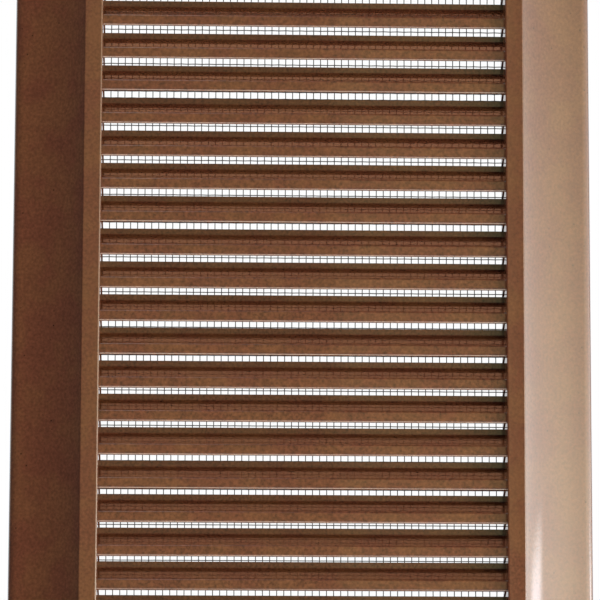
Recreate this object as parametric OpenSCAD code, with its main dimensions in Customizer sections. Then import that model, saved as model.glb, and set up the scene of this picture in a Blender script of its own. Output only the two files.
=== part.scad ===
// Louvred ventilation grille: a clip-on front cover with fixed blades, an insect screen and a wall frame.
// The wall is the plane y = 0, the front looks along -y, z is up, and the origin is the middle of the back.

/* [Outside] */
// Width across the outer edges
outer_w = 170; // [140:1:260]
// Height across the outer edges
outer_h = 240; // [180:1:360]
// Height of the rim's face above the wall
front_h = 14; // [12.5:0.1:18]
// Radius of the four outer corners
corner_r = 3; // [1:0.5:6]

/* [Border] */
// Width of the sloping border, from the outer edge to the rim
border_w = 20.7; // [17:0.1:28]
// Height of the outer lip above the wall
lip_h = 3.2; // [2.9:0.1:4]
// Radius of the rounded outer lip
lip_r = 2.8; // [1:0.1:2.8]
// Slope of the border where it leaves the lip, in degrees
lip_slope = 6; // [2:1:12]
// Height of the small step between the slope and the rim's face
rim_step = 1; // [0.6:0.1:2]
// Wall thickness of the cover moulding
wall_t = 2; // [1.4:0.1:2.2]

/* [Rim] */
// Width of the rim's flat face
rim_w = 5.3; // [5:0.1:9]
// Rounding of the rim's two edges
rim_edge_r = 0.4; // [0.2:0.1:0.8]
// Depth from the rim's face back to the blades
recess_d = 3.5; // [2:0.1:5]
// Draft of the opening's walls in front of the blades, in degrees
draft = 3; // [0:0.5:6]

/* [Blades] */
// Number of louvre blades, counting the one that is part of the cover's head
blade_count = 20; // [12:1:22]
// Height of a blade's upright front face
blade_face_h = 3.2; // [2.4:0.1:3.6]
// Height of the front strip of a blade that is part of the cover's head
head_h = 2.9; // [2:0.1:3.2]
// Depth of a blade from its front face to its upright rear wall
blade_d = 5.4; // [4:0.1:6]
// Rise from the top of a blade's front face to the top of its rear wall
blade_rise = 5.3; // [4.6:0.1:5.8]
// Slope of the web between a blade's front and its rear wall, in degrees
web_slope = 32; // [24:1:36]
// Thickness of a blade's front and web, the lower front edge being fully rounded
blade_t = 1.3; // [0.8:0.1:1.6]
// Thickness of a blade's rear wall
rear_t = 0.8; // [0.6:0.1:1.2]
// Rounding of the edge where a blade's front face turns into its web
crease_r = 0.3; // [0.1:0.1:0.4]
// How far the holding ledges stand in from the side walls
ledge_t = 0.35; // [0.2:0.05:0.6]
// Clearance between a ledge and the blades
ledge_clear = 0.05; // [0.02:0.01:0.1]

/* [Insect screen] */
// Spacing of the net's threads
thread_pitch = 2.06; // [1.6:0.02:3]
// Thickness of a thread
thread_t = 0.32; // [0.24:0.02:0.5]
// Width of the net's solid border and of the frame that clamps it
clamp_w = 3; // [2.6:0.1:4]
// Thickness of the screen frame
clamp_t = 1.5; // [1:0.1:1.6]
// Thickness of the seat on the opening's walls that the net lies against
seat_t = 1.2; // [0.8:0.1:1.6]
// Radius of the pegs that stake the screen
peg_r = 0.7; // [0.5:0.05:0.8]
// Radial clearance of the pegs in their holes
peg_clear = 0.1; // [0.05:0.05:0.2]
// Radius of a peg's staked head
peg_head_r = 1.05; // [1.05:0.05:1.25]
// Height of a peg's staked head
peg_head_h = 0.4; // [0.2:0.1:0.4]
// Largest spacing of the pegs
peg_spacing = 32; // [20:1:60]

/* [Wall frame] */
// Thickness of the wall frame's plate
plate_t = 1.8; // [1.4:0.1:1.8]
// Clearance of the wall frame inside the cover
plate_clear = 0.5; // [0.3:0.1:1]
// Width of the stiffening rib round the plate
rib_w = 1.2; // [0.8:0.1:1.6]
// Height of the stiffening rib above the plate
rib_h = 1.5; // [0.8:0.1:2]
// Radius of the screw holes
screw_r = 2.25; // [1.75:0.05:2.5]
// Radius of the countersink at the plate's face
sink_r = 4; // [3.5:0.1:4.5]
// Depth of the countersink
sink_d = 1.1; // [0.6:0.1:1.2]
// Distance from the cover's outer edges to a screw hole's axis
screw_edge = 15; // [14:0.5:16]

/* [Catches] */
// Width of a catch arm
catch_w = 9; // [6:0.5:14]
// Thickness of a catch arm
catch_t = 1.2; // [1:0.1:1.4]
// Bite of an arm's hook over the seat's edge
catch_bite = 0.8; // [0.5:0.1:0.9]
// Clearance of an arm and its hook from the seat
catch_clear = 0.3; // [0.2:0.05:0.4]
// Height of a hook's flat nose
catch_nose = 0.4; // [0.3:0.1:0.8]
// Length of the ramp on a hook's nose
catch_ramp = 1; // [0.6:0.1:1.4]

/* [Hidden] */
$fn = 96;
// Overshoot of a cutting body
cut = 1;

// The opening's walls at the blades lie this far inside the outer edges
lean = recess_d * tan(draft);
band_w = border_w + rim_w + lean;
open_w = outer_w - 2 * band_w;
open_h = outer_h - 2 * band_w;
blade_h = front_h - recess_d;
wall_end_h = blade_h - blade_d - rear_t - ledge_clear * 4;

// The concave slope runs between the lip and the rim on one arc
slope_run = border_w - lip_r;
slope_rise = front_h - rim_step - lip_h;
chord_angle = atan2(slope_rise, slope_run);
half_arc = chord_angle - lip_slope;
slope_r = norm([slope_run, slope_rise]) / (2 * sin(half_arc));
slope_out = band_w - lip_r;
slope_in = band_w - border_w;
slope_cx = slope_out + slope_r * sin(lip_slope);
slope_cy = lip_h + slope_r * cos(lip_slope);

blade_pitch = (open_h - head_h) / (blade_count - 1);
first_nose = open_h / 2 - head_h;
BLADE_NAMES = [for (i = [1:blade_count - 1]) str("louvre_blade_", i < 10 ? "0" : "", i)];

net_h = wall_end_h;
clamp_h = net_h - 2 * thread_t;
peg_end_h = clamp_h - clamp_t;
peg_line = clamp_w / 2;

// The plate ends where the slope's underside comes down to it
plate_top = plate_t + plate_clear;
plate_band = slope_cx - sqrt(pow(slope_r + wall_t, 2) - pow(slope_cy - plate_top, 2));

// Each arm stands at the plate's inner edge, just outside the seat, and its hook reaches back over the seat
arm_in = clamp_w + catch_clear;
arm_out = arm_in + catch_t;
hook_low = wall_end_h + seat_t + catch_clear;
hook_high = hook_low + catch_nose + catch_ramp;
rib_in = arm_out + catch_clear;

// Quarter-round cutter for an outside corner at the origin, with the material below and to the left
module corner_cutter(r) {
    difference() {
        translate([-r, -r]) square(r + cut);
        translate([-r, -r]) circle(r);
    }
}

// Cross-section of the cover, x out from the opening's wall and y up from the wall plane
module cover_section() {
    difference() {
        union() {
            cover_outline();
            lip_round();
        }
        cover_hollow();
    }
    translate([0, wall_end_h]) square([clamp_w, seat_t]);
}

module cover_outline() {
    difference() {
        polygon([
            [0, 0],
            [slope_out, 0],
            [slope_out, lip_h],
            [slope_out, front_h - rim_step],
            [slope_in, front_h - rim_step],
            [slope_in, front_h],
            [lean + rim_edge_r, front_h],
            [lean * (1 - rim_edge_r / recess_d), front_h - rim_edge_r],
            [0, blade_h]
        ]);
        intersection() {
            translate([slope_cx, slope_cy]) circle(slope_r);
            translate([slope_in, 0]) square([slope_run + cut, front_h - rim_step + cut]);
        }
        translate([slope_in, front_h]) corner_cutter(rim_edge_r);
    }
}

module lip_round() {
    intersection() {
        translate([slope_out, lip_h - lip_r]) circle(lip_r);
        translate([slope_out, 0]) square([lip_r, lip_h]);
    }
    translate([slope_out, 0]) square([lip_r, lip_h - lip_r]);
}

// Space under the slope and the rim, and behind the end of the opening's wall
module cover_hollow() {
    difference() {
        translate([wall_t, -cut]) square([band_w - 2 * wall_t, front_h - wall_t + cut]);
        translate([slope_cx, slope_cy]) circle(slope_r + wall_t);
    }
    translate([-cut, -cut]) square([wall_t + 2 * cut, wall_end_h + cut]);
}

// Puts a side of the cover at the right, top, left or bottom of the opening
module on_side(k) {
    rotate([0, -90 * k, 0]) children();
}

function half_across(k) = (k % 2 == 0 ? open_w : open_h) / 2;
function side_length(k) = k % 2 == 0 ? open_h : open_w;

// A straight run of a section along one side, with mitred ends
module mitred_side(k, reach) {
    half = half_across(k);
    run = side_length(k) / 2;
    on_side(k) intersection() {
        translate([half, 0, 0])
            rotate([180, 0, 0])
                linear_extrude(height = 2 * (run + reach), center = true) children();
        rotate([90, 0, 0])
            linear_extrude(height = 2 * (front_h + cut), center = true)
                polygon([[half, -run], [half + reach, -run - reach], [half + reach, run + reach], [half, run]]);
    }
}

// Flat rounded rectangle, seen from the front
module rounded_rect(w, h, r) {
    square([w - 2 * r, h], center = true);
    square([w, h - 2 * r], center = true);
    for (sx = [-1, 1]) {
        for (sz = [-1, 1]) {
            translate([sx * (w / 2 - r), sz * (h / 2 - r)]) circle(r);
        }
    }
}

// Stands a flat shape upright, from one height above the wall to another
module upright(from_h, to_h) {
    translate([0, -from_h, 0]) rotate([90, 0, 0]) linear_extrude(height = to_h - from_h) children();
}

// Cross-section of a blade, x back from its front face and y up from its lowest point
nose_r = blade_t / 2;
blade_back = blade_d + rear_t;
rear_top = blade_face_h + blade_rise;

// Height of the web's top and of its underside at a distance behind the front face
function web_top(x) = blade_face_h + x * tan(web_slope);
function web_under(x) = web_top(x) - blade_t / cos(web_slope);

// Height of the middle of the round that joins the front face to the web
crease_h = web_top(crease_r) - crease_r / cos(web_slope);

module blade_section() {
    polygon([
        [0, nose_r],
        [blade_t, nose_r],
        [blade_t, web_under(blade_t)],
        [blade_back, web_under(blade_back)],
        [blade_back, rear_top],
        [blade_d, rear_top],
        [blade_d, web_top(blade_d)],
        [crease_r * (1 - sin(web_slope)), crease_h + crease_r * cos(web_slope)],
        [0, crease_h]
    ]);
    translate([nose_r, nose_r]) circle(nose_r, $fn = 32);
    translate([crease_r, crease_h]) circle(crease_r, $fn = 32);
}

// Runs a blade's or ledge's section across the opening, x going back and y up
module across(length) {
    translate([-length / 2, -blade_h, 0])
        rotate([90, 0, 90])
            linear_extrude(height = length) children();
}

module louvre_blade(i) {
    color("sienna") translate([0, 0, first_nose - i * blade_pitch]) across(open_w) blade_section();
}

// The head of the opening has the front strip of a blade, cut off by the wall above it
module head_strip() {
    translate([0, 0, first_nose])
        across(open_w)
            intersection() {
                blade_section();
                translate([0, -cut]) square([blade_d, head_h + cut + ledge_clear]);
            }
}

// Ledge under a blade's web, behind the line from the blade's nose to the top of the rear wall below
module ledge_section() {
    front = blade_t + ledge_clear;
    drop = ledge_clear / cos(web_slope);
    foot = rear_top - blade_pitch + ledge_clear;
    polygon([
        [front, nose_r],
        [front, web_under(front) - drop],
        [blade_back, web_under(blade_back) - drop],
        [blade_back, foot],
        [blade_d, foot]
    ]);
}

module ledges() {
    for (i = [0:blade_count - 2]) {
        translate([0, 0, first_nose - i * blade_pitch]) {
            for (side = [-1, 1]) {
                translate([side * (open_w / 2 - ledge_t / 2 + ledge_clear), 0, 0])
                    across(ledge_t + 2 * ledge_clear) ledge_section();
            }
        }
    }
}

// Places along one side at which something repeats, evenly and no further apart than asked
function even_places(length, widest) =
    let (gaps = ceil(length / widest))
    [for (i = [0:gaps]) -length / 2 + i * length / gaps];

// Pegs, or holes for them, along the middle of the opening's walls
module peg_row(r, from_h, to_h) {
    for (k = [0:3]) {
        on_side(k) {
            for (z = even_places(side_length(k) - 2 * clamp_w, peg_spacing)) {
                translate([half_across(k) + peg_line, -from_h, z])
                    rotate([90, 0, 0])
                        cylinder(r = r, h = to_h - from_h, $fn = 24);
            }
        }
    }
}

// Distances from the middle of a side at which the catches stand
function catch_places(k) = k % 2 == 0 ? [-open_h / 3, 0, open_h / 3] : [-open_w / 4, open_w / 4];

// Arm that stands on the plate and hooks over the seat
module catch_arm_section() {
    polygon([
        [arm_in, plate_t - cut / 4],
        [arm_out, plate_t - cut / 4],
        [arm_out, hook_high],
        [arm_in, hook_high],
        [clamp_w - catch_bite, hook_low + catch_nose],
        [clamp_w - catch_bite, hook_low],
        [arm_in, hook_low]
    ]);
}

module on_catches(length) {
    for (k = [0:3]) {
        on_side(k) {
            for (z = catch_places(k)) {
                translate([half_across(k), 0, z])
                    rotate([180, 0, 0])
                        linear_extrude(height = length, center = true) children();
            }
        }
    }
}

module front_cover() {
    color("saddlebrown") {
        intersection() {
            union() {
                for (k = [0:3]) {
                    mitred_side(k, band_w) cover_section();
                }
            }
            upright(-cut, front_h + cut) rounded_rect(outer_w, outer_h, corner_r);
        }
        head_strip();
        intersection() {
            ledges();
            upright(0, front_h) square([open_w + wall_t, open_h + wall_t], center = true);
        }
        peg_row(peg_r, peg_end_h, wall_end_h + cut / 4);
        peg_row(peg_head_r, peg_end_h - peg_head_h, peg_end_h);
    }
}

// Flat ring round the opening that carries the net's threads
module clamp_ring() {
    difference() {
        square([open_w + 2 * clamp_w, open_h + 2 * clamp_w], center = true);
        square([open_w, open_h], center = true);
    }
}

module screen_layer(from_h, to_h) {
    difference() {
        upright(from_h, to_h) {
            clamp_ring();
            children();
        }
        peg_row(peg_r + peg_clear, from_h - cut, to_h + cut);
    }
}

module screen_upright_threads() {
    color("dimgray") screen_layer(net_h - thread_t, net_h) {
        for (x = [thread_pitch / 2:thread_pitch:open_w / 2]) {
            for (side = [-1, 1]) {
                translate([side * x, 0]) square([thread_t, open_h + clamp_w], center = true);
            }
        }
    }
}

module screen_cross_threads() {
    color("dimgray") screen_layer(net_h - 2 * thread_t, net_h - thread_t) {
        for (z = [thread_pitch / 2:thread_pitch:open_h / 2]) {
            for (side = [-1, 1]) {
                translate([0, side * z]) square([open_w + clamp_w, thread_t], center = true);
            }
        }
    }
}

module screen_frame() {
    color("saddlebrown") difference() {
        upright(peg_end_h, clamp_h) clamp_ring();
        peg_row(peg_r + peg_clear, peg_end_h - cut, clamp_h + cut);
    }
}

module wall_plate() {
    difference() {
        upright(0, plate_t) difference() {
            rounded_rect(open_w + 2 * plate_band, open_h + 2 * plate_band, corner_r);
            square([open_w + 2 * arm_in, open_h + 2 * arm_in], center = true);
        }
        for (sx = [-1, 1]) {
            for (sz = [-1, 1]) {
                translate([sx * (outer_w / 2 - screw_edge), 0, sz * (outer_h / 2 - screw_edge)])
                    rotate([90, 0, 0]) {
                        translate([0, 0, -cut]) cylinder(r = screw_r, h = plate_t + 2 * cut);
                        translate([0, 0, plate_t - sink_d])
                            cylinder(r1 = screw_r, r2 = sink_r, h = sink_d);
                    }
            }
        }
    }
}

module stiffening_rib() {
    upright(plate_t - cut / 4, plate_t + rib_h) difference() {
        square([open_w + 2 * (rib_in + rib_w), open_h + 2 * (rib_in + rib_w)], center = true);
        square([open_w + 2 * rib_in, open_h + 2 * rib_in], center = true);
    }
}

module wall_frame() {
    color("saddlebrown") {
        wall_plate();
        stiffening_rib();
        on_catches(catch_w) catch_arm_section();
    }
}

front_cover();
for (i = [1:blade_count - 1]) {
    louvre_blade(i);
}
screen_upright_threads();
screen_cross_threads();
screen_frame();
wall_frame();
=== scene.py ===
"""Looks of a brown moulded ventilation grille with fixed louvre blades and a fine insect net.

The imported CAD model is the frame. Every piece is modelled in millimetres in that frame, where the wall is the
plane y = 0 and the front looks along -y, and is scaled to metres when it is finished.
"""

import logging
import math
from collections.abc import Callable, Iterable
from dataclasses import dataclass, field
from enum import Enum
from typing import Any

import bmesh
import bpy
from mathutils import Matrix, Vector


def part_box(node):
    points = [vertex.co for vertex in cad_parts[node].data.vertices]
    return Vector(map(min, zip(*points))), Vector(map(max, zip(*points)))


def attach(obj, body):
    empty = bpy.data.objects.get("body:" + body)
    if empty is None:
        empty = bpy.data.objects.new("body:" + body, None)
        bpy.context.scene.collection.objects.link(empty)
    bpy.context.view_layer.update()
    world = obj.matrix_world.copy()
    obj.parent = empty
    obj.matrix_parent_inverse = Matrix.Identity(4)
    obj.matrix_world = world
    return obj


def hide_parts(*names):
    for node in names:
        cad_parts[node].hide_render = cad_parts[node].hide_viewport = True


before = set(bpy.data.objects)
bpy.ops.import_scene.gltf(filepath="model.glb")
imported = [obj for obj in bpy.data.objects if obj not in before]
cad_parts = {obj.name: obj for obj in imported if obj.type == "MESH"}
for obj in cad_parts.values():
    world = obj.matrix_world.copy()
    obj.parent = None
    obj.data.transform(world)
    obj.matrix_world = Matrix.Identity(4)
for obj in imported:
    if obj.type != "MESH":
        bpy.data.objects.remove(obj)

MM = 0.001
BODY = "root"
DEGREES = math.degrees(1)
QUARTER_TURN = math.pi / 2
# Cosine from which two directions count as parallel
PARALLEL = 0.999
# Mean level of a noise texture
NOISE_MEAN = 0.5
# Places of the Mix node's share, its two colours and the mixed colour among its sockets
MIX_SHARE, MIX_FIRST, MIX_SECOND, MIX_RESULT = 0, 6, 7, 2

Point = tuple[float, float]
Ramp = tuple[Point, Point]
Colour = tuple[float, float, float]
Paint = tuple[float, float, float, float]
Mesh = bmesh.types.BMesh
Material = bpy.types.Material

WHITE: Paint = (1.0, 1.0, 1.0, 1.0)
BLACK: Paint = (0.0, 0.0, 0.0, 1.0)

log = logging.getLogger("grille")


class Slot(Enum):
    """Names of the record's material slots for the kinds of new piece. The pieces carry them, but nothing
    applies them.
    """

    COVER = "cover_plastic"
    BLADE = "blade_plastic"
    NET = "net"


class Side(Enum):
    """The four sides of the opening, counted anticlockwise as seen from the front."""

    RIGHT = 0
    TOP = 1
    LEFT = 2
    BOTTOM = 3

    @property
    def turn(self) -> Matrix:
        """Rotation about Y that moves the right-hand side to this one."""
        return Matrix.Rotation(-QUARTER_TURN * self.value, 4, "Y")

    @property
    def upright(self) -> bool:
        """Whether the side runs up and down."""
        return self in (Side.RIGHT, Side.LEFT)


class Value:
    """A shader socket that adds Math nodes when it is used in an expression."""

    def __init__(self, graph: "Graph", socket: bpy.types.NodeSocket) -> None:
        """Wraps one socket of a graph."""
        self.graph = graph
        self.socket = socket

    def _math(self, operation: str, *values: Any) -> "Value":
        """Result of a Math node whose inputs are these numbers or values."""
        return self.graph.add("ShaderNodeMath", {"operation": operation}, dict(enumerate(values)))

    def __add__(self, other: Any) -> "Value":
        """This value plus another."""
        return self._math("ADD", self, other)

    __radd__ = __add__

    def __sub__(self, other: Any) -> "Value":
        """This value minus another."""
        return self._math("SUBTRACT", self, other)

    def __rsub__(self, other: Any) -> "Value":
        """Another value minus this one."""
        return self._math("SUBTRACT", other, self)

    def __mul__(self, other: Any) -> "Value":
        """This value times another."""
        return self._math("MULTIPLY", self, other)

    __rmul__ = __mul__


class Graph:
    """A node tree that is built in code."""

    def __init__(self, tree: bpy.types.NodeTree) -> None:
        """Takes a tree and empties it."""
        self.tree = tree
        tree.nodes.clear()

    def add(self, kind: str, settings: dict[str, Any], inputs: dict[Any, Any], output: Any = 0) -> Value:
        """Adds a node of any type.

        Args:
            kind: The node's type.
            settings: Its properties, set first.
            inputs: Numbers, colours or values for its sockets, by name or index.
            output: The output socket that is returned, by name or index.

        Returns:
            The chosen output, or the first input of a node that ends the tree.
        """
        node = self.tree.nodes.new(kind)
        for name, setting in settings.items():
            setattr(node, name, setting)
        for name, given in inputs.items():
            if isinstance(given, Value):
                self.tree.links.new(given.socket, node.inputs[name])
            else:
                node.inputs[name].default_value = given
        return Value(self, (node.outputs or node.inputs)[output])

    def ray(self, kind: str) -> Value:
        """1 for rays of one kind, else 0."""
        return self.add("ShaderNodeLightPath", {}, {}, f"Is {kind} Ray")

    def shown_rays(self) -> Value:
        """Tells the rays that should find the backdrop bright.

        Returns:
            1 for rays from the camera and for mirrored and transmitted ones, else 0.
        """
        camera, glossy, through = (self.ray(kind) for kind in ("Camera", "Glossy", "Transmission"))
        clamped_sum = {"operation": "ADD", "use_clamp": True}
        return self.add("ShaderNodeMath", clamped_sum, {0: camera + glossy, 1: through})

    def blend(self, share: Value, first: Any, second: Any) -> Value:
        """Mixes two colours by the share of the second."""
        sockets = {MIX_SHARE: share, MIX_FIRST: first, MIX_SECOND: second}
        return self.add("ShaderNodeMix", {"data_type": "RGBA"}, sockets, MIX_RESULT)

    def shaded(self, colour: Any, shade: Value) -> Value:
        """A colour times a level."""
        return self.add("ShaderNodeVectorMath", {"operation": "SCALE"}, {0: colour, "Scale": shade})

    def noise(self, place: Value, per_mm: float, detail: float) -> Value:
        """Level of a noise with so many grains to the millimetre and layers of detail."""
        sockets = {"Vector": place, "Scale": per_mm / MM, "Detail": detail, "Roughness": 0.5}
        return self.add("ShaderNodeTexNoise", {"noise_dimensions": "3D"}, sockets)

    def ramp(self, value: Value, start: Point, end: Point, smooth: bool = True) -> Value:
        """Takes a value from one level to another, and holds it outside.

        Args:
            value: What is followed.
            start: The value where the ramp begins, and the level there.
            end: The value where it ends, and the level there.
            smooth: Whether it eases in and out.

        Returns:
            The level.
        """
        kind = "SMOOTHSTEP" if smooth else "LINEAR"
        sockets = dict(zip(("Value", "From Min", "To Min", "From Max", "To Max"), (value, *start, *end)))
        return self.add("ShaderNodeMapRange", {"interpolation_type": kind}, sockets)


def start_material(name: str) -> tuple[Material, Graph]:
    """Makes a material that is still without nodes.

    Args:
        name: Its name.

    Returns:
        The material and its node tree.
    """
    made = bpy.data.materials.new(name)
    made.use_nodes = True
    return made, Graph(made.node_tree)


def add_object(name: str, mesh: Mesh, finish: Material) -> bpy.types.Object:
    """Makes an object of a mesh that was built at its place, and frees the working mesh.

    Args:
        name: The object's name.
        mesh: The working mesh, in metres.
        finish: Its material.

    Returns:
        The object, at the origin.
    """
    data = bpy.data.meshes.new(name)
    mesh.to_mesh(data)
    mesh.free()
    data.materials.append(finish)
    made = bpy.data.objects.new(name, data)
    bpy.context.scene.collection.objects.link(made)
    return made


@dataclass(frozen=True)
class Plastic:
    """Moulded plastic with a fine orange-peel skin, soft clouds, a fine grain and a few pits.

    Attributes:
        name: The material's name.
        colour: The mean colour.
        roughness: The mean roughness.
        ior: Index of refraction, that of polystyrene.
        cloud_noise: Clouds to the millimetre, and their layers of detail.
        mottle: How much the clouds lighten and darken the colour.
        rough_mottle: How much they change the roughness.
        yellowing: How much more green the colour has in the thick of a cloud.
        yellow_levels: Share of that yellower colour by the cloud's level.
        grain_noise: Grains to the millimetre, and their layers of detail.
        grain: How much the grain lightens and darkens the colour.
        peel_noise: Dimples of the orange peel to the millimetre, and their layers of detail.
        peel_depth_mm: Its depth.
        pits_per_mm: Cells to the millimetre, of which some hold a pit.
        pit_size: Radius of a pit as a share of its cell.
        pit_levels: How deep its pit is by a cell's random level.
        pit_depth: Depth of a pit as a share of the peel's.
        pit_shade: How much a pit darkens the colour.
        pit_roughness: How much it adds to the roughness.
    """

    name: str
    colour: Colour
    roughness: float = 0.04
    ior: float = 1.59
    cloud_noise: Point = (0.09, 3.0)
    mottle: float = 0.4
    rough_mottle: float = 0.02
    yellowing: float = 1.15
    yellow_levels: Ramp = ((0.38, 0.0), (0.62, 1.0))
    grain_noise: Point = (1.2, 4.0)
    grain: float = 1.2
    peel_noise: Point = (1.3, 1.0)
    peel_depth_mm: float = 0.0015
    pits_per_mm: float = 0.35
    pit_size: float = 0.14
    pit_levels: Ramp = ((0.66, 0.0), (0.7, 1.0))
    pit_depth: float = 0.6
    pit_shade: float = 0.8
    pit_roughness: float = 0.1

    def material(self) -> Material:
        """Builds the node material.

        Returns:
            The new material.
        """
        made, graph = start_material(self.name)
        place = graph.add("ShaderNodeTexCoord", {}, {}, "Object")
        cloud = graph.noise(place, *self.cloud_noise)
        grain = graph.noise(place, *self.grain_noise)
        peel = graph.noise(place, *self.peel_noise)
        pits = self._pits(graph, place)
        clouding = cloud - NOISE_MEAN
        shade = 1.0 + clouding * self.mottle + (grain - NOISE_MEAN) * self.grain - pits * self.pit_shade
        height = peel - pits * self.pit_depth
        relief = {"Height": height, "Strength": 1.0, "Distance": self.peel_depth_mm * MM}
        sockets = {
            "Base Color": graph.shaded(self._hue(graph, cloud), shade),
            "Roughness": self.roughness + clouding * self.rough_mottle + pits * self.pit_roughness,
            "Normal": graph.add("ShaderNodeBump", {}, relief),
            "IOR": self.ior,
        }
        shader = graph.add("ShaderNodeBsdfPrincipled", {}, sockets)
        graph.add("ShaderNodeOutputMaterial", {}, {"Surface": shader})
        return made

    def _pits(self, graph: Graph, place: Value) -> Value:
        """Scatters pits, one in the middle of some of the cells of a cell pattern.

        Args:
            graph: The material's tree.
            place: Where it is read, in metres.

        Returns:
            1 in the middle of a pit, 0 outside.
        """
        sockets = {"Vector": place, "Scale": self.pits_per_mm / MM}
        cells = ("ShaderNodeTexVoronoi", {"feature": "F1"}, sockets)
        # The grey of a cell's random colour is its random level
        middle, chance = graph.add(*cells, "Distance"), graph.add(*cells, "Color")
        return graph.ramp(middle, (0.0, 1.0), (self.pit_size, 0.0)) * graph.ramp(chance, *self.pit_levels)

    def _hue(self, graph: Graph, cloud: Value) -> Value:
        """Turns the colour yellower in the thick of the clouds.

        Args:
            graph: The material's tree.
            cloud: Level of the clouds.

        Returns:
            The colour, still without shade.
        """
        red, green, blue = self.colour
        yellower = (red, green * self.yellowing, blue, 1.0)
        return graph.blend(graph.ramp(cloud, *self.yellow_levels), (*self.colour, 1.0), yellower)


@dataclass(frozen=True)
class Thread:
    """Dull dark thread of the net, a little dustier in patches.

    Attributes:
        name: The material's name.
        colour: The mean colour.
        dust_noise: Dusty patches to the millimetre, and their layers of detail.
        bare_shade: Shade of the colour where there is no dust.
        dust_shade: How much full dust adds to it.
        roughness: Roughness without dust.
        dust_roughness: How much full dust adds to it.
        ior: Index of refraction.
    """

    name: str
    colour: Colour
    dust_noise: Point = (0.4, 3.0)
    bare_shade: float = 0.7
    dust_shade: float = 0.6
    roughness: float = 0.5
    dust_roughness: float = 0.2
    ior: float = 1.5

    def material(self) -> Material:
        """Builds the node material.

        Returns:
            The new material.
        """
        made, graph = start_material(self.name)
        place = graph.add("ShaderNodeTexCoord", {}, {}, "Object")
        dust = graph.noise(place, *self.dust_noise)
        sockets = {
            "Base Color": graph.shaded(self.colour, self.bare_shade + dust * self.dust_shade),
            "Roughness": self.roughness + dust * self.dust_roughness,
            "IOR": self.ior,
        }
        shader = graph.add("ShaderNodeBsdfPrincipled", {}, sockets)
        graph.add("ShaderNodeOutputMaterial", {}, {"Surface": shader})
        return made


@dataclass
class Piece:
    """A piece of the grille while it is made.

    Attributes:
        name: The object's name.
        slot: Its material slot; not used.
        finish: Its material.
        stands_for: The CAD nodes that it replaces.
        mesh: Its mesh, in millimetres.
        smooth_below: Largest turn of an edge, in degrees, that is shaded smooth.
        flat_above: The same where a broad face meets a narrow one, so that the broad one mirrors as flat.
        narrow: Share of the broad face's area under which its neighbour counts as narrow.
        merge_below: Distance, in millimetres, under which two vertices are one.
    """

    name: str
    slot: Slot
    finish: Material
    stands_for: tuple[str, ...]
    mesh: Mesh = field(default_factory=bmesh.new)
    smooth_below: float = 35.0
    flat_above: float = 3.0
    narrow: float = 0.3
    merge_below: float = 1e-5

    def weld(self) -> None:
        """Joins vertices that fall together and turns the faces outward."""
        bmesh.ops.remove_doubles(self.mesh, verts=self.mesh.verts, dist=self.merge_below)
        bmesh.ops.recalc_face_normals(self.mesh, faces=self.mesh.faces)

    def done(self) -> None:
        """Scales the mesh to metres, makes the object, and puts it on the part's body."""
        self.weld()
        self._mark_sharp_edges()
        bmesh.ops.scale(self.mesh, vec=(MM, MM, MM), verts=self.mesh.verts)
        piece = add_object(self.name, self.mesh, self.finish)
        piece.data.shade_smooth()
        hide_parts(*self.stands_for)
        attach(piece, BODY)
        log.info("%s: %d faces, for %s", self.name, len(piece.data.polygons), ", ".join(self.stands_for))

    def _mark_sharp_edges(self) -> None:
        """Marks the edges at which the smooth shading ends."""
        for edge in self.mesh.edges:
            areas = sorted(face.calc_area() for face in edge.link_faces)
            turn = math.degrees(edge.calc_face_angle(math.pi))
            uneven = areas[0] < self.narrow * areas[-1]
            if turn > self.smooth_below or (uneven and turn > self.flat_above):
                edge.smooth = False


def arc(centre: Point, radius: float, start: float, end: float, steps: int) -> list[Point]:
    """Points along an arc, angles in degrees, ends included."""
    turns = [math.radians(start + (end - start) * i / steps) for i in range(steps + 1)]
    return [(centre[0] + radius * math.cos(t), centre[1] + radius * math.sin(t)) for t in turns]


def bearing(centre: Point, point: Point) -> float:
    """Direction of a point as seen from a centre, from 0 to 360 degrees."""
    return math.degrees(math.atan2(point[1] - centre[1], point[0] - centre[0])) % 360


def move(geometry: Iterable[Any], by: Vector, mesh: Mesh) -> None:
    """Moves the vertices among some geometry."""
    bmesh.ops.translate(mesh, vec=by, verts=[g for g in geometry if isinstance(g, bmesh.types.BMVert)])


def add_prism(mesh: Mesh, section: list[Point], length: float, place: Vector) -> list[Any]:
    """Runs a closed section across the opening.

    Args:
        mesh: The mesh that gets the prism.
        section: Its corners, as depth behind the place and height above it.
        length: How far it runs, centred on the place.
        place: The section's own origin.

    Returns:
        The long edges, in the order of the corners.
    """
    verts = [mesh.verts.new(place + Vector((-length / 2, back, up))) for back, up in section]
    first = mesh.faces.new(verts)
    pulled = bmesh.ops.extrude_face_region(mesh, geom=[first], use_keep_orig=True)["geom"]
    move(pulled, Vector((length, 0, 0)), mesh)
    return [e for v in verts for e in v.link_edges if abs(e.verts[1].co.x - e.verts[0].co.x) > length / 2]


@dataclass
class Opening:
    """The rectangular way through the grille, and what lines up with it.

    Attributes:
        width: Width between the walls at the blades.
        height: Height between them.
        blade_front: Height of the blades' front faces above the wall.
        seat: Height of the seat that the net lies on.
    """

    width: float
    height: float
    blade_front: float
    seat: float


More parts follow.
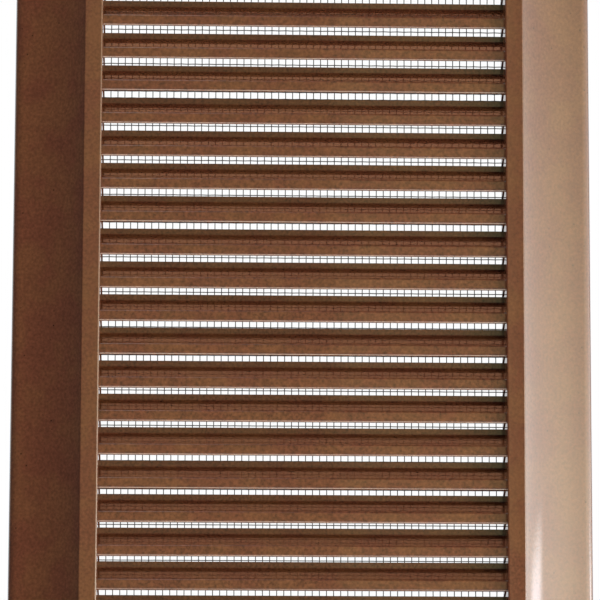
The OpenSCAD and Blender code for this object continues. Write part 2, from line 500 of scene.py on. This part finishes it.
@dataclass
class Cover:
    """The clip-on front cover: rounded lip, hollow sloping border, flat rim, deep walls and staking pegs.

    Attributes:
        outer_w: Width over all.
        outer_h: Height over all.
        front_h: Height of the rim above the wall.
        corner_r: Radius of the outer corners.
        border_w: Width of the border, lip included.
        lip_h: Height of the lip.
        lip_r: Radius of its outer edge.
        lip_slope: Slope at which the border meets the lip, in degrees.
        foot_ease: Chamfer of the lip's foot.
        rim_step: How far the rim stands above the border.
        rim_w: Width of the rim.
        rim_edge_r: Radius of its edges.
        wall_t: Thickness of the moulding.
        recess_d: How deep the blades lie behind the rim.
        draft: Draft of the opening's walls down to the blades, in degrees.
        clamp_w: Width of the seat.
        seat_t: Thickness of its flange.
        blade_gap: How far the seat lies behind the blades.
        peg_r: Radius of a peg.
        peg_root_h: How deep a peg's root lies in the seat's flange.
        peg_head_r: Radius of a peg's staked head.
        peg_head_h: Height of the head.
        peg_head_taper: How much narrower the head is at its back.
        peg_sides: Sides of a peg.
        peg_spacing: Largest spacing of the pegs.
        rim_edge_steps: Steps of each edge of the rim.
        border_steps: Steps of the border's slope.
        lip_steps: Steps of the lip.
        hollow_steps: Steps of the slope's underside.
        corner_steps: Steps of a corner.
    """

    outer_w: float
    outer_h: float
    front_h: float
    corner_r: float = 3.0
    border_w: float = 20.7
    lip_h: float = 3.2
    lip_r: float = 2.8
    lip_slope: float = 6.0
    foot_ease: float = 0.15
    rim_step: float = 1.0
    rim_w: float = 5.3
    rim_edge_r: float = 0.4
    wall_t: float = 2.0
    recess_d: float = 3.5
    draft: float = 3.0
    clamp_w: float = 3.0
    seat_t: float = 1.2
    blade_gap: float = 0.2
    peg_r: float = 0.7
    peg_root_h: float = 0.25
    peg_head_r: float = 1.05
    peg_head_h: float = 0.4
    peg_head_taper: float = 0.2
    peg_sides: int = 16
    peg_spacing: float = 32.0
    rim_edge_steps: int = 3
    border_steps: int = 28
    lip_steps: int = 10
    hollow_steps: int = 16
    corner_steps: int = 6

    @property
    def lean(self) -> float:
        """How far the drafted wall comes in from the rim to the blades."""
        return self.recess_d * math.tan(math.radians(self.draft))

    @property
    def band(self) -> float:
        """Distance from the outer edge to the opening's wall."""
        return self.border_w + self.rim_w + self.lean

    def opening(self, blade_d: float) -> Opening:
        """The opening that this cover leaves.

        Args:
            blade_d: Depth of a blade over all.

        Returns:
            Its sizes.
        """
        width, height = self.outer_w - 2 * self.band, self.outer_h - 2 * self.band
        blade_front = self.front_h - self.recess_d
        return Opening(width, height, blade_front, blade_front - blade_d - self.blade_gap)

    def section(self, seat: float) -> list[Point]:
        """Closed section of the moulding: distance out from the opening, and height above the wall.

        Args:
            seat: Height of the seat that the net lies on.

        Returns:
            Its points, from the seat up over the rim and the border and back underneath.
        """
        slope_out, slope_in = self.band - self.lip_r, self.band - self.border_w
        slope_top = self.front_h - self.rim_step
        run, rise = slope_out - slope_in, slope_top - self.lip_h
        slope = math.radians(self.lip_slope)
        radius = math.hypot(run, rise) / (2 * math.sin(math.atan2(rise, run) - slope))
        centre = (slope_out + radius * math.sin(slope), self.lip_h + radius * math.cos(slope))
        start, end = bearing(centre, (slope_in, slope_top)), bearing(centre, (slope_out, self.lip_h))

        foot, roof = self.band - self.wall_t, self.front_h - self.wall_t
        hollow_r = radius + self.wall_t
        foot_up = centre[1] - math.sqrt(hollow_r**2 - (foot - centre[0]) ** 2)
        roof_out = centre[0] - math.sqrt(hollow_r**2 - (roof - centre[1]) ** 2)
        hollow_start, hollow_end = bearing(centre, (foot, foot_up)), bearing(centre, (roof_out, roof))

        r, below_rim = self.rim_edge_r, self.front_h - self.rim_edge_r
        return [
            (0.0, seat),
            (0.0, self.front_h - self.recess_d),
            (self.lean * (1 - r / self.recess_d), below_rim),
            *arc((self.lean + r, below_rim), r, 180, 90, self.rim_edge_steps)[1:],
            *arc((slope_in - r, below_rim), r, 90, 0, self.rim_edge_steps),
            *arc(centre, radius, start, end, self.border_steps),
            *arc((slope_out, self.lip_h - self.lip_r), self.lip_r, 90, 0, self.lip_steps)[1:],
            (self.band, self.foot_ease),
            (self.band - self.foot_ease, 0.0),
            (foot, 0.0),
            *arc(centre, hollow_r, hollow_start, hollow_end, self.hollow_steps),
            (self.wall_t, roof),
            (self.wall_t, seat + self.seat_t),
            (self.clamp_w, seat + self.seat_t),
            (self.clamp_w, seat),
        ]

    def build(
        self, opening: Opening, finish: Material, peg_end: float, add_extras: Callable[[Mesh], None]
    ) -> None:
        """Sweeps the section round the opening, rounds the corners and adds what is moulded on.

        Args:
            opening: The opening that it surrounds.
            finish: Its material.
            peg_end: Height of the screen frame's back, on which the pegs' heads lie.
            add_extras: Adds the blades' head strip and ledges to the mesh.
        """
        piece = Piece("cover_moulding", Slot.COVER, finish, ("front_cover",))
        mesh = piece.mesh
        rings = [self._ring(mesh, opening, point) for point in self.section(opening.seat)]
        for ring, following in zip(rings, rings[1:] + rings[:1]):
            for corners in zip(ring, ring[1:] + ring[:1], following[1:] + following[:1], following):
                mesh.faces.new(corners)
        piece.weld()
        self._part_corners(mesh)
        add_extras(mesh)
        self._add_pegs(mesh, opening, peg_end)
        piece.done()

    def _ring(self, mesh: Mesh, opening: Opening, point: Point) -> list[bmesh.types.BMVert]:
        """Runs one point of the section round the opening, with rounded corners near the outer edge.

        Args:
            mesh: The mesh that gets the vertices.
            opening: The opening that it surrounds.
            point: The section's point.

        Returns:
            The vertices in order.
        """
        out, up = point
        radius = max(0.0, self.corner_r - (self.band - out))
        inset_w, inset_h = opening.width / 2 + out - radius, opening.height / 2 + out - radius
        verts = []
        for quarter, (across, upward) in enumerate(((1, 1), (-1, 1), (-1, -1), (1, -1))):
            corner = (across * inset_w, upward * inset_h)
            turns = arc(corner, radius, 90 * quarter, 90 * quarter + 90, self.corner_steps)
            verts += [mesh.verts.new((x, -up, z)) for x, z in turns]
        return verts

    def _part_corners(self, mesh: Mesh) -> None:
        """Ends the smooth shading of each straight side at its corners, so that its reflections run straight.

        Args:
            mesh: The mesh of the swept section alone.
        """
        for edge in mesh.edges:
            along = (edge.verts[1].co - edge.verts[0].co).normalized()
            lies_along = max(abs(along.x), abs(along.z)) >= PARALLEL
            longest = max(e.calc_length() for face in edge.link_faces for e in face.edges)
            if not lies_along and longest > self.band:
                edge.smooth = False

    def _add_pegs(self, mesh: Mesh, opening: Opening, peg_end: float) -> None:
        """Adds the pegs that go through the net's border and the screen frame, with their staked heads.

        Args:
            mesh: The cover's mesh.
            opening: The opening whose seat they stand on.
            peg_end: Height at which a peg's shank meets its head.
        """
        root, tip = opening.seat + self.peg_root_h, peg_end - self.peg_head_h
        shank_radii = (self.peg_r, self.peg_r)
        head_radii = (self.peg_head_r - self.peg_head_taper, self.peg_head_r)
        for side in Side:
            half = (opening.width if side.upright else opening.height) / 2
            free = (opening.height if side.upright else opening.width) - 2 * self.clamp_w
            gaps = math.ceil(free / self.peg_spacing)
            for i in range(gaps + 1):
                foot = Vector((half + self.clamp_w / 2, 0, free * (i / gaps - 0.5)))
                self._add_round(mesh, side, foot, (peg_end, root), shank_radii)
                self._add_round(mesh, side, foot, (tip, peg_end), head_radii)

    def _add_round(self, mesh: Mesh, side: Side, foot: Vector, heights: Point, radii: Point) -> None:
        """Adds a round bar square to the wall.

        Args:
            mesh: The mesh that gets it.
            side: The side of the opening where it stands.
            foot: Its place on the wall, as on the right side.
            heights: Heights of its back end and its front end.
            radii: Radii of the same two ends.
        """
        back, front = heights
        place = side.turn @ Matrix.Translation(foot + Vector((0, -(back + front) / 2, 0)))
        bmesh.ops.create_cone(
            mesh, cap_ends=True, segments=self.peg_sides, radius1=radii[0], radius2=radii[1],
            depth=front - back, matrix=place @ Matrix.Rotation(QUARTER_TURN, 4, "X"),
        )


@dataclass
class Blades:
    """The column of fixed Z-shaped louvre blades, and the strip and ledges that the cover has for them.

    Attributes:
        opening: The opening that they cross.
        count: Front strips, the head strip included.
        face_h: Height of a blade's upright front face.
        head_h: Height of the head strip.
        depth: Depth from the front face to the rear wall.
        rise: How far the rear wall's top lies above the front face's.
        web_slope: Slope of the web, in degrees.
        thickness: Thickness of face and web.
        rear_t: Thickness of the rear wall.
        ledge_t: How far a ledge stands out from the side wall.
        clearance: Clearance of a ledge from the blades.
        crease_r: Radius of the creases where the web meets the front face and the rear wall.
        edge_r: Radius of the other long edges.
        eased_above: Turn, in degrees, from which an edge is rounded.
        edge_steps: Steps of a rounded edge.
        nose_steps: Steps of a blade's nose.
        head_nose_steps: Steps of the head strip's nose.
    """

    opening: Opening
    count: int = 20
    face_h: float = 3.2
    head_h: float = 2.9
    depth: float = 5.4
    rise: float = 5.3
    web_slope: float = 32.0
    thickness: float = 1.3
    rear_t: float = 0.8
    ledge_t: float = 0.35
    clearance: float = 0.05
    crease_r: float = 0.3
    edge_r: float = 0.12
    eased_above: float = 30.0
    edge_steps: int = 4
    nose_steps: int = 16
    head_nose_steps: int = 12

    @property
    def pitch(self) -> float:
        """Spacing of the blades."""
        return (self.opening.height - self.head_h) / (self.count - 1)

    @property
    def back(self) -> float:
        """Depth of a blade's back behind its front face."""
        return self.depth + self.rear_t

    @property
    def rear_top(self) -> float:
        """Height of a blade above its lowest point."""
        return self.face_h + self.rise

    def nose(self, i: int) -> Vector:
        """Lowest front corner of a blade, counted from the head strip."""
        return Vector((0, -self.opening.blade_front, self.opening.height / 2 - self.head_h - i * self.pitch))

    def web_top(self, back: float) -> float:
        """Height of the web's upper side at a distance behind the front face."""
        return self.face_h + back * math.tan(math.radians(self.web_slope))

    def web_under(self, back: float) -> float:
        """Height of the web's underside at a distance behind the front face."""
        return self.web_top(back) - self.thickness / math.cos(math.radians(self.web_slope))

    def section(self) -> list[Point]:
        """Section of a blade: depth behind its front face, and height above its lowest point.

        Returns:
            Its points, from the nose round underneath and back over the top. The last two are the creases.
        """
        r = self.thickness / 2
        return [
            *arc((r, r), r, 180, 360, self.nose_steps),
            (self.thickness, self.web_under(self.thickness)),
            (self.back, self.web_under(self.back)),
            (self.back, self.rear_top),
            (self.depth, self.rear_top),
            (self.depth, self.web_top(self.depth)),
            (0.0, self.face_h),
        ]

    def build(self, finish: Material) -> None:
        """Makes each separate blade.

        Args:
            finish: Their material.
        """
        for i in range(1, self.count):
            name = f"louvre_blade_{i:02d}"
            piece = Piece(f"moulded_{name}", Slot.BLADE, finish, (name,))
            self._add_blade(piece.mesh, i)
            piece.done()

    def _add_blade(self, mesh: Mesh, i: int) -> None:
        """Adds one blade with its creases rounded and its other long edges eased.

        Args:
            mesh: The mesh that gets it.
            i: Its number, counted from the head strip.
        """
        section = self.section()
        first_crease = len(section) - 2
        for n, edge in enumerate(add_prism(mesh, section, self.opening.width, self.nose(i))):
            if edge.calc_face_angle(0) > math.radians(self.eased_above):
                radius = self.crease_r if n >= first_crease else self.edge_r
                bmesh.ops.bevel(
                    mesh, geom=[edge], offset=radius, segments=self.edge_steps,
                    profile=0.5, affect="EDGES", material=-1,
                )

    def add_to_cover(self, mesh: Mesh) -> None:
        """Adds the head strip and the side ledges.

        Args:
            mesh: The cover's mesh.
        """
        r = self.thickness / 2
        over = self.head_h + self.clearance
        wedge = (over - self.web_under(0.0)) / math.tan(math.radians(self.web_slope))
        strip = [
            *arc((r, r), r, 180, 360, self.head_nose_steps),
            (self.thickness, self.web_under(self.thickness)),
            (wedge, over),
            (0.0, over),
        ]
        add_prism(mesh, strip, self.opening.width, self.nose(0))
        for i in range(self.count - 1):
            for side in (-1, 1):
                place = self.nose(i) + Vector((side * (self.opening.width - self.ledge_t) / 2, 0, 0))
                add_prism(mesh, self._ledge(), self.ledge_t, place)

    def _ledge(self) -> list[Point]:
        """Section of a ledge, whose front runs from the upper blade's nose to the lower blade's rear wall.

        Returns:
            Its points, as depth behind the upper blade's front face and height above its lowest point.
        """
        front = self.thickness + self.clearance
        drop = self.clearance / math.cos(math.radians(self.web_slope))
        foot = self.rear_top - self.pitch + self.clearance
        return [
            (front, self.thickness / 2),
            (self.depth, foot),
            (self.back, foot),
            (self.back, self.web_under(self.back) - drop),
            (front, self.web_under(front) - drop),
        ]


@dataclass
class Net:
    """The woven insect net, upright and cross threads passing over and under each other.

    Attributes:
        opening: The opening that it closes.
        border: Width of the net's border on the seat.
        pitch: Spacing of the threads.
        thread_t: Thickness of one layer of threads, half of which a thread swings to each side.
        wire_r: Radius of a thread.
        sides: Sides of a thread.
        smooth_below: Largest turn of an edge, in degrees, that is shaded smooth.
    """

    opening: Opening
    border: float = 3.0
    pitch: float = 2.06
    thread_t: float = 0.32
    wire_r: float = 0.145
    sides: int = 6
    smooth_below: float = 80.0

    @property
    def middle(self) -> float:
        """Height of the net's middle plane above the wall."""
        return self.opening.seat - self.thread_t

    def places(self, span: float) -> list[float]:
        """Places of the threads across a span, evenly to both sides of its middle."""
        half = [self.pitch * (0.5 + n) for n in range(int(span / 2 / self.pitch + 0.5))]
        return sorted([-p for p in half] + half)

    def build(self, finish: Material) -> None:
        """Makes the two sets of threads.

        Args:
            finish: Their material.
        """
        across, along = self.places(self.opening.width), self.places(self.opening.height)
        for name, node, places, crossings, lying in (
            ("net_upright_threads", "screen_upright_threads", across, along, False),
            ("net_cross_threads", "screen_cross_threads", along, across, True),
        ):
            piece = Piece(name, Slot.NET, finish, (node,), smooth_below=self.smooth_below)
            self._add_threads(piece.mesh, places, crossings, lying)
            piece.done()

    def _add_threads(self, mesh: Mesh, places: list[float], crossings: list[float], lying: bool) -> None:
        """Adds one set of threads.

        Args:
            mesh: The mesh that gets them.
            places: Where the threads stand.
            crossings: Where each of them meets the other set.
            lying: Whether they run across instead of up.
        """
        sway = self.thread_t / 2 * (-1 if lying else 1)
        for parity in (0, 1):
            first, *others = places[parity::2]
            strand = self._add_strand(mesh, crossings, sway if parity else -sway)
            move(strand, Vector((first, 0, 0)), mesh)
            for place in others:
                copy = bmesh.ops.duplicate(mesh, geom=strand)["geom"]
                move(copy, Vector((place - first, 0, 0)), mesh)
        if lying:
            turn = Matrix.Rotation(QUARTER_TURN, 3, "Y")
            bmesh.ops.rotate(mesh, cent=(0, 0, 0), matrix=turn, verts=mesh.verts)
        move(mesh.verts, Vector((0, -self.middle, 0)), mesh)

    def _add_strand(self, mesh: Mesh, crossings: list[float], sway: float) -> list[Any]:
        """Adds one upright thread at x = 0 that swings to and fro at each crossing.

        Args:
            mesh: The mesh that gets the thread.
            crossings: Where it meets the other threads.
            sway: How far it swings back at the second of them, and forward at the first.

        Returns:
            The thread's geometry.
        """
        reach = crossings[-1] + self.border / 2 + self.pitch / 2
        stops = [-reach, *crossings, reach]
        ring = bmesh.ops.create_circle(mesh, cap_ends=True, segments=self.sides, radius=self.wire_r)["verts"]
        move(ring, Vector((0, 0, stops[0])), mesh)
        face = [ring[0].link_faces[0]]
        strand = [*ring, *face[0].edges, *face]
        swing = 0.0
        for n, (low, high) in enumerate(zip(stops, stops[1:]), 1):
            next_swing = 0.0 if n == len(stops) - 1 else sway * (-1) ** n
            pulled = bmesh.ops.extrude_face_region(mesh, geom=face, use_keep_orig=n == 1)["geom"]
            move(pulled, Vector((0, next_swing - swing, high - low)), mesh)
            strand += pulled
            face = [g for g in pulled if isinstance(g, bmesh.types.BMFace)]
            swing = next_swing
        verts = {g for g in strand if g.is_valid and isinstance(g, bmesh.types.BMVert)}
        edges = {e for v in verts for e in v.link_edges}
        faces = {f for v in verts for f in v.link_faces}
        return [*verts, *edges, *faces]


@dataclass(frozen=True)
class Lamp:
    """An oblong lamp that faces the grille.

    Attributes:
        name: The lamp's name.
        azimuth: Degrees to the right from straight in front of the grille.
        elevation: Degrees above level.
        distance: Distance in metres.
        size: Width and height in metres.
        watts: Power.
        colour: Colour of the light.
    """

    name: str
    azimuth: float
    elevation: float
    distance: float
    size: Point
    watts: float
    colour: Colour = (1.0, 1.0, 1.0)

    @property
    def place(self) -> Vector:
        """Where it hangs.

        Returns:
            Its place in metres.
        """
        across, up = math.radians(self.azimuth), math.radians(self.elevation)
        ahead = Vector((math.sin(across) * math.cos(up), -math.cos(across) * math.cos(up), math.sin(up)))
        return ahead * self.distance

    def build(self) -> None:
        """Hangs the lamp up."""
        data = bpy.data.lights.new(self.name, "AREA")
        data.shape = "RECTANGLE"
        data.size, data.size_y = self.size
        data.energy = self.watts
        data.color = self.colour
        lamp = bpy.data.objects.new(self.name, data)
        bpy.context.scene.collection.objects.link(lamp)
        lamp.location = self.place
        lamp.rotation_mode = "QUATERNION"
        lamp.rotation_quaternion = (-self.place).to_track_quat("-Z", "Y")
        lamp.visible_camera = False


@dataclass(frozen=True)
class Room:
    """The world: white to the camera, and to all other rays a dim room with a wide window on the right.

    Azimuths are degrees to the right from straight in front, and elevations degrees above level. A ramp
    gives two of them, each with the level there.

    Attributes:
        ambient: Level of the room beside the window.
        daylight: Strength of the window.
        cool: The window's colour far to the right.
        warm: Its colour near the middle.
        warm_across: Share of the warm colour by azimuth.
        warm_upward: What is added to that share by elevation.
        left_edge: The window's left edge.
        left_gain: What is added to the window a little further in.
        right_fall: How the window fades to the right.
        right_edge: Its right edge.
        upward: How the window fades upward.
        foot: Its lower edge.
        head: Its upper edge.
        glare: Strength of the glare low down in the window.
        glare_left: The glare's left edge.
        glare_right: Its right edge.
        glare_top: Its upper edge, at glare_middle.
        glare_middle: Azimuth of the glare's middle.
        glare_drop: How far the upper edge drops for each degree to the right.
    """

    ambient: float = 0.09
    daylight: float = 0.98
    cool: Paint = (1.0, 1.0, 0.9, 1.0)
    warm: Paint = (1.0, 0.85, 0.5, 1.0)
    warm_across: Ramp = ((20.0, 0.85), (95.0, 0.2))
    warm_upward: Ramp = ((3.0, -0.2), (12.0, 0.15))
    left_edge: Ramp = ((9.0, 0.0), (16.0, 0.8))
    left_gain: Ramp = ((20.0, 0.0), (45.0, 0.13))
    right_fall: Ramp = ((50.0, 1.0), (110.0, 0.8))
    right_edge: Ramp = ((122.0, 1.0), (145.0, 0.0))
    upward: Ramp = ((2.0, 7.6), (13.0, 2.9))
    foot: Ramp = ((0.5, 0.27), (2.0, 1.0))
    head: Ramp = ((13.5, 1.0), (15.5, 0.0))
    glare: float = 6.5
    glare_left: Ramp = ((74.0, 0.0), (85.0, 1.0))
    glare_right: Ramp = ((91.0, 1.0), (104.0, 0.0))
    glare_top: Ramp = ((2.6, 1.0), (4.0, 0.0))
    glare_middle: float = 84.0
    glare_drop: float = 0.05

    def build(self) -> None:
        """Makes the world and sets it as the scene's own."""
        world = bpy.data.worlds.new("studio")
        bpy.context.scene.world = world
        world.use_nodes = True
        graph = Graph(world.node_tree)
        azimuth, elevation = self._direction(graph)
        left = graph.ramp(azimuth, *self.left_edge) + graph.ramp(azimuth, *self.left_gain)
        right = graph.ramp(azimuth, *self.right_fall) * graph.ramp(azimuth, *self.right_edge)
        across = left * right
        upward = graph.ramp(elevation, *self.upward, smooth=False)
        window = across * upward * graph.ramp(elevation, *self.foot) * graph.ramp(elevation, *self.head)
        glare = self._glare(graph, azimuth, elevation)
        seen = graph.ray("Camera")
        level = self.ambient + window * self.daylight + glare * self.glare
        warmth = graph.ramp(azimuth, *self.warm_across, smooth=False)
        warmth += graph.ramp(elevation, *self.warm_upward, smooth=False)
        light = graph.blend(warmth, self.cool, self.warm)
        sockets = {
            "Color": graph.blend(across * (1 - seen) * (1 - glare), WHITE, light),
            "Strength": level + seen * (1 - level),
        }
        sky = graph.add("ShaderNodeBackground", {}, sockets)
        graph.add("ShaderNodeOutputWorld", {}, {"Surface": sky})

    @staticmethod
    def _direction(graph: Graph) -> tuple[Value, Value]:
        """Reads the direction in which a ray leaves.

        Args:
            graph: The world's tree.

        Returns:
            Its azimuth and its elevation.
        """
        ahead = graph.add("ShaderNodeTexCoord", {}, {}, "Generated")
        x, y, z = (graph.add("ShaderNodeSeparateXYZ", {}, {"Vector": ahead}, axis) for axis in "XYZ")
        azimuth = graph.add("ShaderNodeMath", {"operation": "ARCTAN2"}, {0: x, 1: 0 - y})
        elevation = graph.add("ShaderNodeMath", {"operation": "ARCSINE"}, {0: z})
        return azimuth * DEGREES, elevation * DEGREES

    def _glare(self, graph: Graph, azimuth: Value, elevation: Value) -> Value:
        """Places the glare, which draws the pale streak at the foot of the right border.

        Args:
            graph: The world's tree.
            azimuth: Azimuth of the ray.
            elevation: Elevation of the ray.

        Returns:
            1 in the glare, 0 outside.
        """
        across = graph.ramp(azimuth, *self.glare_left) * graph.ramp(azimuth, *self.glare_right)
        slanted = elevation + (azimuth - self.glare_middle) * self.glare_drop
        return across * graph.ramp(slanted, *self.glare_top)


@dataclass(frozen=True)
class Studio:
    """Pale floor, white backdrop, soft lamps and the room that the grille mirrors.

    Attributes:
        floor_z: Height of the floor, in metres.
        reach: How far the floor and the walls go to each side.
        wall_y: Distance of the walls behind the grille.
        wall_top: Height at which the backdrop ends and the upper wall begins.
        upper_top: Height of the upper wall's top.
        pale: Colour of the floor.
        upper_colour: Colour of the upper wall, which the blades' webs mirror and the camera doesn't see.
        room: The world.
        lamps: The lamps.
    """

    floor_z: float = -0.9
    reach: float = 5.0
    wall_y: float = 2.6
    wall_top: float = 1.5
    upper_top: float = 6.0
    pale: Paint = (0.88, 0.88, 0.87, 1.0)
    upper_colour: Paint = (0.72, 0.36, 0.21, 1.0)
    room: Room = Room()
    lamps: tuple[Lamp, ...] = (
        Lamp("front", 0.0, 8.0, 1.5, size=(0.42, 0.53), watts=0.3, colour=(1.0, 0.86, 0.4)),
        Lamp("front_right", 7.5, 7.6, 1.5, size=(0.24, 0.53), watts=0.14, colour=(1.0, 0.8, 0.38)),
        Lamp("low_right", 60.0, -23.0, 0.78, size=(0.36, 0.45), watts=3.2),
        Lamp("high", -38.0, 46.0, 1.2, size=(1.2, 0.64), watts=6.1),
        Lamp("below", 5.0, -85.0, 0.8, size=(0.3, 1.2), watts=8.0, colour=(1.0, 0.9, 0.72)),
    )

    def build(self) -> None:
        """Makes the floor, the walls, the world and the lamps."""
        self._stand("floor", Matrix.Translation((0, 0, self.floor_z)), (self.reach, self.reach), self.pale)
        self._wall("backdrop", self.floor_z, self.wall_top, WHITE)
        self._wall("upper_wall", self.wall_top, self.upper_top, self.upper_colour).visible_camera = False
        self.room.build()
        for lamp in self.lamps:
            lamp.build()

    def _wall(self, name: str, low: float, high: float, colour: Paint) -> bpy.types.Object:
        """Stands a glowing wall behind the grille, from one height to another."""
        place = Matrix.Translation((0, self.wall_y, (low + high) / 2)) @ Matrix.Rotation(QUARTER_TURN, 4, "X")
        return self._stand(name, place, (self.reach, (high - low) / 2), colour)

    @staticmethod
    def _stand(name: str, place: Matrix, half: Point, colour: Paint) -> bpy.types.Object:
        """Makes a flat surface that glows to the camera and in mirrors, and lights nothing.

        Args:
            name: The object's name.
            place: Where it stands, from flat at the origin.
            half: Half its width and half its length.
            colour: Colour of its glow.

        Returns:
            The surface.
        """
        finish, graph = start_material(f"pale_{name}")
        glow = graph.add("ShaderNodeEmission", {}, {"Color": colour, "Strength": 1.0})
        dark = graph.add("ShaderNodeEmission", {}, {"Color": BLACK, "Strength": 0.0})
        shader = graph.add("ShaderNodeMixShader", {}, {0: graph.shown_rays(), 1: dark, 2: glow})
        graph.add("ShaderNodeOutputMaterial", {}, {"Surface": shader})
        mesh = bmesh.new()
        bmesh.ops.create_grid(mesh, x_segments=1, y_segments=1, size=1.0)
        bmesh.ops.scale(mesh, vec=(*half, 1), verts=mesh.verts)
        bmesh.ops.transform(mesh, matrix=place, verts=mesh.verts)
        stand = add_object(name, mesh, finish)
        return stand


@dataclass(frozen=True)
class Camera:
    """The photograph's viewpoint: in front, a little below and to the left.

    Attributes:
        lens: Focal length for the sensor's width, both in millimetres.
        sensor_w: The sensor's width.
        tilt: Degrees that it looks upward.
        yaw: Degrees that it looks to the right.
        roll: Degrees that it leans.
        distance: Distance from the target in millimetres.
        target: What it looks at, in millimetres.
        clip: Nearest and farthest distance that it sees, in metres.
    """

    lens: float = 192.0
    sensor_w: float = 36.0
    tilt: float = 7.58
    yaw: float = 1.86
    roll: float = 0.18
    distance: float = 928.6
    target: tuple[float, float, float] = (-0.99, -12.0, -0.05)
    clip: Point = (0.05, 20.0)

    def build(self) -> None:
        """Makes the camera and sets it as the scene's own."""
        tilt, yaw, roll = (math.radians(a) for a in (self.tilt, self.yaw, self.roll))
        ahead = Vector((math.sin(yaw) * math.cos(tilt), math.cos(yaw) * math.cos(tilt), math.sin(tilt)))
        right = ahead.cross(Vector((0, 0, 1))).normalized()
        up = right.cross(ahead)
        turned_right = right * math.cos(roll) + up * math.sin(roll)
        turned_up = up * math.cos(roll) - right * math.sin(roll)
        turn = Matrix((turned_right, turned_up, -ahead)).transposed().to_4x4()
        data = bpy.data.cameras.new("photo_view")
        data.lens = self.lens
        data.sensor_width = self.sensor_w
        data.clip_start, data.clip_end = self.clip
        camera = bpy.data.objects.new("photo_view", data)
        bpy.context.scene.collection.objects.link(camera)
        camera.matrix_world = Matrix.Translation((Vector(self.target) - ahead * self.distance) * MM) @ turn
        bpy.context.scene.camera = camera


def main() -> None:
    """Builds the grille's pieces, the studio and the camera."""
    logging.basicConfig(level=logging.INFO, format="%(message)s")
    bpy.context.scene.view_settings.view_transform = "Standard"
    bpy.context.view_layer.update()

    tint = (0.155, 0.051, 0.0265)
    cover_brown = Plastic("brown_cover", tint, grain=1.1, peel_depth_mm=0.004).material()
    blade_brown = Plastic("brown_blades", tint, grain=2.0).material()
    frame_brown = Plastic("brown_frame", tint, roughness=0.3).material()
    thread = Thread("dark_thread", (0.05, 0.04, 0.035)).material()

    low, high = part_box("front_cover")
    size = (high - low) / MM
    cover = Cover(size.x, size.z, size.y)
    opening = cover.opening(Blades.depth + Blades.rear_t)
    blades = Blades(opening)
    frame_back = -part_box("screen_frame")[1].y / MM
    cover.build(opening, cover_brown, frame_back, blades.add_to_cover)
    blades.build(blade_brown)
    Net(opening).build(thread)
    for name in ("screen_frame", "wall_frame"):
        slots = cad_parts[name].data.materials
        slots.clear()
        slots.append(frame_brown)
        log.info("%s: kept, with a finish", name)

    Studio().build()
    Camera().build()


if __name__ == "__main__":
    main()
